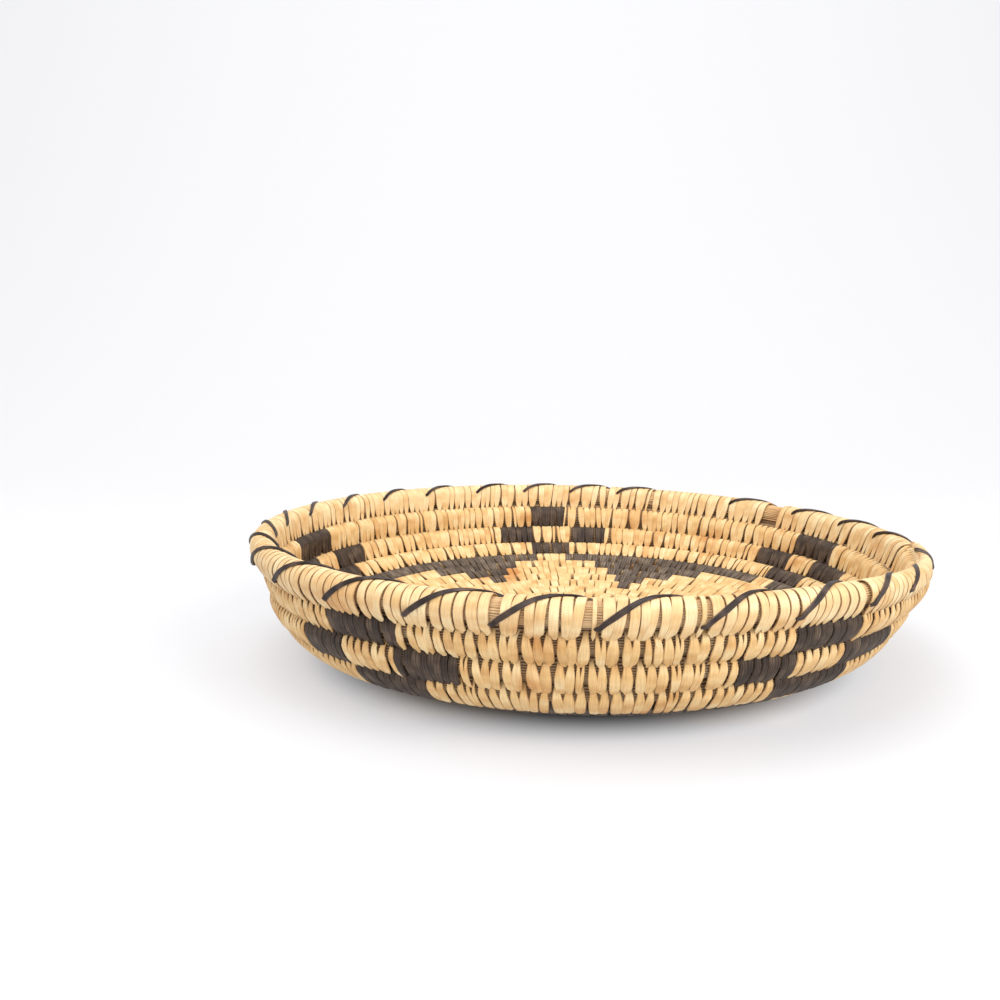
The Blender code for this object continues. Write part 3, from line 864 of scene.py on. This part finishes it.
# %% Two ways to lay stitches
HALVES_APART = 0.29
LEFT_HALF_WIDTH = 0.5
LEFT_HALF_LEAN = -0.5
RIGHT_HALF_WIDTH = 0.42
RIGHT_HALF_LEAN = 0.6
SLIVER_SHARE = 0.1
SLIVER_WIDTH = 0.2
SLIVER_LEAN = 2.6
SLIVER_STEPS = 18


def lay(name, picks, material, slot, shape, samples, section, *nodes):
    """Sews the picked stitches. Where a splint has split, two narrow ones lie side by side."""
    whole = np.flatnonzero(picks & ~split)
    halved = np.flatnonzero(picks & split)
    shift = widths[halved] * HALVES_APART / (2 * np.pi * coil_section(stitch_turns[halved])[0])
    index = np.concatenate([whole, halved, halved])
    turn = np.concatenate([stitch_turns[whole], stitch_turns[halved] - shift, stitch_turns[halved] + shift])
    width = np.concatenate([
        widths[whole], widths[halved] * LEFT_HALF_WIDTH, widths[halved] * RIGHT_HALF_WIDTH,
    ])
    lean = np.concatenate([leans[whole], leans[halved] + LEFT_HALF_LEAN, leans[halved] + RIGHT_HALF_LEAN])
    mesh = splint_mesh(name, turn, width, cuts[index], lean, seeds[index], samples, section, shape)
    add_piece(name, mesh, material, slot, *nodes)


def lay_slivers(name, material, slot):
    """Sews the loose threads, each between a light stitch and the next."""
    picks = (rng.uniform(0.0, 1.0, len(stitch_turns)) < SLIVER_SHARE) & ~dark & on_wall
    by_dark = [is_dark(turn + ONE_STITCH_IN_TURNS) or is_dark(turn - 1.0) for turn in stitch_turns]
    picks &= ~np.array(by_dark)
    turn = stitch_turns[picks] + 0.5 * np.gradient(stitch_turns)[picks]
    lean = SLIVER_LEAN * np.where(leans[picks] < 0, -1.0, 1.0)
    mesh = splint_mesh(name, turn, widths[picks] * SLIVER_WIDTH, cuts[picks], lean, seeds[picks],
                       SLIVER_STEPS, CROWNED_SECTION, RIM_WIDTHS)
    add_piece(name, mesh, material, slot)


print("width of a sliver in mm:", round(LIGHT_SPACING * SLIVER_WIDTH, 2))

# %% Lay the stitches
FLOOR_STEPS = 12
WALL_STEPS = 20
RIM_STEPS = 29
floor_nodes = sorted(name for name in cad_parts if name.startswith("floor_dark"))
wall_nodes = sorted(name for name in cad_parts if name.startswith("wall_dark"))
lay("light_stitches_floor", ~dark & on_floor, light_splint, "light_splint",
    FLOOR_WIDTHS, FLOOR_STEPS, CROWNED_SECTION)
lay("light_stitches_wall", ~dark & on_wall, light_splint, "light_splint",
    LIGHT_WIDTHS, WALL_STEPS, CROWNED_SECTION)
lay_slivers("loose_slivers", light_splint, "light_splint")
lay("dark_stitches_floor", dark & on_floor, floor_dark_splint_painted_sheen, "dark_splint",
    DARK_WIDTHS, FLOOR_STEPS, CROWNED_SECTION, *floor_nodes)
lay("dark_stitches_wall", dark & ~on_floor, dark_splint, "dark_splint",
    DARK_WIDTHS, WALL_STEPS, CROWNED_SECTION, *wall_nodes)
lay("rim_stitches_pale", (stitch_row == 0) & ~missing, rim_splint, "rim_splint",
    RIM_WIDTHS, RIM_STEPS, FLAT_SECTION, "rim_stitches")

# %% [markdown]
# ## The grass bundle
#
# The bundle is a fistful of thin, stiff stems. They show between stitches and where one is missing.
# Each stem could be a tube of its own, but only their outer sides are ever seen, so the bundle is one
# tube whose section has a groove between one stem and the next. It swells towards the turns above
# and below until they touch, which is what makes the real tray tight.

# %% Section of the bundle at each step along the coil
GRASS_RADIUS = 4.4
STEMS = 26
POINTS_PER_STEM = 2
STEPS_PER_TURN = 50
GROOVE_DEPTH = 0.6
TOUCHING_OVERLAP = 0.25
SWELL_SHARPNESS = 14
GRASS_HUMP = 0.6
START_SHARE = 0.35
START_TAPER_TURNS = 0.8

turns = np.linspace(START_TURN, COIL_END, int((COIL_END - START_TURN) * STEPS_PER_TURN))
middle, along, up_wall, out = coil_frame(turns)
points_around = STEMS * POINTS_PER_STEM
around = np.arange(points_around) / points_around * 2 * np.pi
start_taper = np.clip(START_SHARE + (turns - START_TURN) / START_TAPER_TURNS, 0.0, 1.0)
thin = (end_taper(turns) * start_taper * np.interp(turns, [10.0, 12.5], [0.93, 1.0]))[:, None]
grooves = np.where(np.arange(points_around) % POINTS_PER_STEM == 0, GROOVE_DEPTH, 0.0)
up_share = np.maximum(np.sin(around), 0.0)[None]
down_share = np.maximum(-np.sin(around), 0.0)[None]
on_rim = (turns > COIL_END - 1.0)[:, None]
below = coil_frame(np.maximum(turns - 1.0, 0.0))[0]
above = coil_frame(np.minimum(turns + 1.0, COIL_END))[0]
to_lower = np.linalg.norm(middle - below, axis=-1)[:, None] / 2 + TOUCHING_OVERLAP - GRASS_RADIUS * thin
to_upper = np.linalg.norm(middle - above, axis=-1)[:, None] / 2 + TOUCHING_OVERLAP - GRASS_RADIUS * thin
reach = (GRASS_RADIUS - grooves[None]) * thin
reach = reach + down_share ** SWELL_SHARPNESS * to_lower
reach = reach + up_share ** SWELL_SHARPNESS * np.where(on_rim, 0.0, to_upper)
reach = reach + up_share * hump(turns)[:, None] * GRASS_HUMP
print("bundle steps:", len(turns), "points in a section:", points_around)

# %% [markdown]
# ## The stems and their shade
#
# The sections could be swept along a curve, but then its points couldn't say how dark they are. In a
# mesh they can: the grooves get the darkest painted shade, and stems are painted a little darker
# wherever stitches cover them, as little light gets in. On the rim they stay light where stitches are
# missing, but the grooves and the underside are painted as shade there too.

# %% The bundle as a mesh
WALL_SHADE = 0.87
FLOOR_SHADE = 0.84
TOUCHING_SHADE = 0.04
TWIST = 0.12
TWIST_WAVE = 23.0
LOWEST_GRASS = 0.3
STEM_NOISE_STEP = 7.3
STREAK_STRETCH = 0.25

twisted = around[None] + TWIST * np.sin(turns * TWIST_WAVE)[:, None]
bundle_points = (
    middle[:, None]
    + out[:, None] * (np.cos(twisted) * reach)[..., None]
    + up_wall[:, None] * (np.sin(twisted) * reach)[..., None]
)
bundle_points[..., 2] = np.maximum(bundle_points[..., 2], LOWEST_GRASS)
lengths = np.cumsum(2 * np.pi * coil_section(turns)[0] / STEPS_PER_TURN)
stem_number = np.arange(points_around) // POINTS_PER_STEM
stem_places = (stem_number * STEM_NOISE_STEP)[None, None] + np.zeros((1, len(turns), 1))
# Painted shade: the grooves, the stems under stitches and the underside of the rim's bundle are darkened in
# colour.
row_shade = np.where(turns[:, None] < COIL_END - FLOOR_FROM_ROW, FLOOR_SHADE, WALL_SHADE)
covered_shade = row_shade + TOUCHING_SHADE * (up_share + down_share)
shade = np.where(on_rim, down_share ** 3, covered_shade)
shade = np.maximum(shade, (grooves > 0)[None])
bundle_mesh = ribbons_to_mesh(
    "bear_grass_bundle", bundle_points[None], stem_places, lengths[None] * STREAK_STRETCH, shade[None],
    np.zeros(1),
)
add_piece("bear_grass_bundle", bundle_mesh, grass, "light_splint", "foundation_coil")

# %% [markdown]
# ## The whipping
#
# A dark strand with three ribs laps over the rim. One long spiral could stand for it, but each lap
# comes out between the rim's stitches low outside, climbs over the top and goes in again inside, so
# each is a short ribbon of its own. Its path is an angle round the rim's section, and a travel along
# the rim that grows with it. The degrees of the tops were worked out like those of the pattern.

# %% Path of one lap
WHIP_TOPS = (
    1.1, 14.1, 28.1, 44.6, 72.1, 83.2, 94.4, 106.0, 119.1, 131.0, 143.6, 156.5, 168.8,
    180.5, 193.0, 205.7, 219.7, 234.2, 248.7, 261.2, 274.7, 288.2, 301.7, 315.7, 327.2, 344.0,
)
LAP_SECTION_ANGLES = (-42.0, -20.0, 10.0, 35.0, 60.0, 85.0, 105.0, 125.0, 150.0, 175.0)
LAP_TRAVEL = (-8.2, -7.1, -5.4, -3.9, -2.3, -0.4, 1.3, 3.2, 5.2, 6.6)
SINK_ANGLES = (-42.0, -30.0, 160.0, 175.0)
SINKS = (-1.5, 0.0, 0.0, -1.3)
STITCH_REACH = 5.45
WHIP_THICKNESS = 1.2


def lap_path(top, section_angle):
    """Middle line of a lap whose top is at so many degrees, and the direction away from the coil."""
    degrees = top + np.interp(section_angle, LAP_SECTION_ANGLES, LAP_TRAVEL)
    turn = COIL_END - 1.0 + ((degrees - math.degrees(SEAM_ANGLE)) % 360.0) / 360.0
    # A lap across the seam would jump a turn, so it follows the coil back from the rim's start.
    if turn.max() - turn.min() > 0.5:
        turn = np.where(turn > COIL_END - 0.5, turn - 1.0, turn)
    middle, _, up_wall, out = coil_frame(turn)
    phi = np.radians(section_angle)
    sunk = np.interp(section_angle, SINK_ANGLES, SINKS)
    reach = (STITCH_REACH + WHIP_THICKNESS / 2 + sunk) * end_taper(turn)
    reach = reach + np.maximum(np.sin(phi), 0.0) * hump(turn)
    # Below the middle the stitches run straight down, so the lap does too.
    reach = reach / np.cos(np.minimum(phi, 0.0))
    radial = out * np.cos(phi)[:, None] + up_wall * np.sin(phi)[:, None]
    return middle + radial * reach[:, None], radial


print("laps:", len(WHIP_TOPS))

# %% [markdown]
# ## The ribbed strand
#
# The strand is a whole split of devil's claw, thicker than the sewing splints, with three rounded
# ribs. A relief in the finish could draw them, but each rib catches the light from its own side, so
# they are real shape: the section rises and falls three times across the strand. The finish paints
# the ribs' valleys darker and their crests lighter, a painted shade and highlight, about as often.
# Pod skin left whole is smoother, so it has small soft glints.

# %% Section of the strand
WHIP_WIDTH = 2.1
WHIP_STEPS = 36
WHIP_RIBS = 3
LAP_WIDTH_ANGLES = (-42.0, -32.0, 10.0, 105.0, 175.0)
LAP_WIDTHS = (0.6, 1.0, 1.1, 0.95, 0.75)

x = np.linspace(-1.0, 1.0, 13)
ribbed = 0.55 + 0.45 * np.abs(np.cos(x * WHIP_RIBS * np.pi / 2)) - 0.35 * x ** 4
section_x = np.concatenate([x, [0.6, -0.6]])
section_y = np.concatenate([ribbed, [-0.9, -0.9]])
section_angle = np.linspace(LAP_SECTION_ANGLES[0], LAP_SECTION_ANGLES[-1], WHIP_STEPS)
half = WHIP_WIDTH / 2 * np.interp(section_angle, LAP_WIDTH_ANGLES, LAP_WIDTHS)
whip_across = section_x[None] * half[:, None]
print("distance between ribs in mm:", round(WHIP_WIDTH / WHIP_RIBS, 2))

# %% Laps to mesh
lap_points, lap_lengths = [], []
for top in WHIP_TOPS:
    path, radial = lap_path(top, section_angle)
    tangent = np.gradient(path, axis=0)
    tangent /= np.linalg.norm(tangent, axis=-1, keepdims=True)
    side = np.cross(tangent, radial)
    side /= np.linalg.norm(side, axis=-1, keepdims=True)
    face = np.cross(side, tangent)
    steps = np.linalg.norm(np.diff(path, axis=0), axis=-1)
    lap_lengths.append(np.concatenate([[0.0], np.cumsum(steps)]))
    lap_points.append(
        path[:, None]
        + side[:, None] * whip_across[..., None]
        + face[:, None] * (section_y * WHIP_THICKNESS / 2)[None, :, None]
    )
whip_mesh = ribbons_to_mesh(
    "rim_whipping", np.array(lap_points), whip_across[None], np.array(lap_lengths), np.zeros((1, 1, 1)),
    rng.uniform(0.0, 1.0, len(WHIP_TOPS)),
)
whip_splint = splint_finish(
    "devils_claw_whipping", ("#281c17", "#3c2d27", "#625046"), roughness=0.42, fibre_mm=1.0, fibre_depth=0.3,
    stain="#8a7d72", edge_and_shade_tone="#40352c", rib_mm=1 / 1.43, specular=0.35,
)
add_piece("rim_whipping", whip_mesh, whip_splint, "whip_splint", "rim_whip")

# %% [markdown]
# ## The start knot
#
# The coil starts from a small knot of splints in the middle of the floor. It could be tied like the
# real one, but only its top is ever seen. So a few short ribbons laid across each other make a button
# that closes the eye of the spiral.

# %% Start knot, in millimetres
KNOT_SPLINTS = 7
KNOT_REACH = 6.6
KNOT_WIDTH = 2.6
KNOT_BASE = 5.6
KNOT_CROWN = 3.2
KNOT_LAYER = 0.12
KNOT_STEPS = 13

section = np.array(CROWNED_SECTION)
knot_across = section[:, 0] * KNOT_WIDTH / 2
line = np.linspace(-1.0, 1.0, KNOT_STEPS)
upward = np.array([0.0, 0.0, 1.0])
knot_points = []
for number in range(KNOT_SPLINTS):
    heading = number / KNOT_SPLINTS * math.pi
    direction = np.array([math.cos(heading), math.sin(heading), 0.0])
    cross = np.array([-math.sin(heading), math.cos(heading), 0.0])
    height = KNOT_BASE + KNOT_LAYER * number + KNOT_CROWN * np.sqrt(np.maximum(1.0 - line ** 2, 0.0))
    spine = direction * (line * KNOT_REACH)[:, None] + upward * height[:, None]
    knot_points.append(
        spine[:, None]
        + cross * knot_across[None, :, None]
        + upward * (section[:, 1] * SPLINT_THICKNESS)[None, :, None]
    )
knot_mesh = ribbons_to_mesh(
    "start_knot_splints", np.array(knot_points), knot_across[None, None],
    np.tile((line + 1.0) * KNOT_REACH, (KNOT_SPLINTS, 1)), np.abs(section[:, 0])[None, None],
    rng.uniform(0.0, 1.0, KNOT_SPLINTS),
)
add_piece("start_knot_splints", knot_mesh, light_splint, "knot_fibre", "start_knot")
